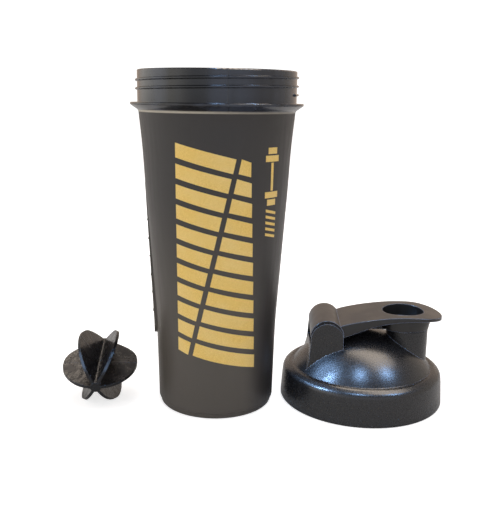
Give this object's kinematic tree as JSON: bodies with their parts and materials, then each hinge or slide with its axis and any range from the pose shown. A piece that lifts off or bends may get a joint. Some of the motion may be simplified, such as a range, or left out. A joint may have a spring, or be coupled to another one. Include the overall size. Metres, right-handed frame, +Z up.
{
  "type": "protein shaker bottle",
  "caption": "Open shaker bottle: tapered cup with a screw neck, domed screw lid with a flip-up spout cap, and a loose finned mixer.",
  "frame": {"origin": "centre of the cup's foot ring, on the table", "axes": "+Z up along the cup's axis, +X from the cup towards the lid, -Y towards the viewer"},
  "size_m": [0.2241, 0.0985, 0.1878],
  "materials": {
    "cup_plastic": "frosted satin black-grey moulded plastic, glossier on the neck",
    "lid_plastic": "fine spark-eroded satin black plastic",
    "seal_rubber": "smooth soft black rubber",
    "pin_plastic": "smooth black plastic",
    "mixer_plastic": "semi-gloss black plastic"
  },
  "bodies": {
    "cup": {"cup": "cup_plastic"},
    "gasket": {"lid_gasket": "seal_rubber"},
    "lid": {"lid_shell": "lid_plastic", "hinge_pin": "pin_plastic"},
    "flip_arm": {"flip_arm": "lid_plastic", "spout_seal": "seal_rubber"},
    "mixer": {"mixer": "mixer_plastic"}
  },
  "joints": [
    {"name": "lid_lift", "type": "slide", "parent": "cup", "child": "gasket", "axis": [0.12, 0, 0.9928], "range_m": [0, 0.19]},
    {"name": "lid_turn", "type": "hinge", "parent": "gasket", "child": "lid", "pos_m": [0.0868, 0.0039, 0], "axis": [0, 0, 1], "range_deg": [-720, 720]},
    {"name": "flip_hinge", "type": "hinge", "parent": "lid", "child": "flip_arm", "pos_m": [0.06497, 0.00562, 0.0403], "axis": [-0.0785, -0.9969, 0], "range_deg": [0, 95]},
    {"name": "mixer_lift", "type": "slide", "parent": "cup", "child": "mixer", "axis": [-0.12, 0, 0.9928], "range_m": [0, 0.19]}
  ]
}
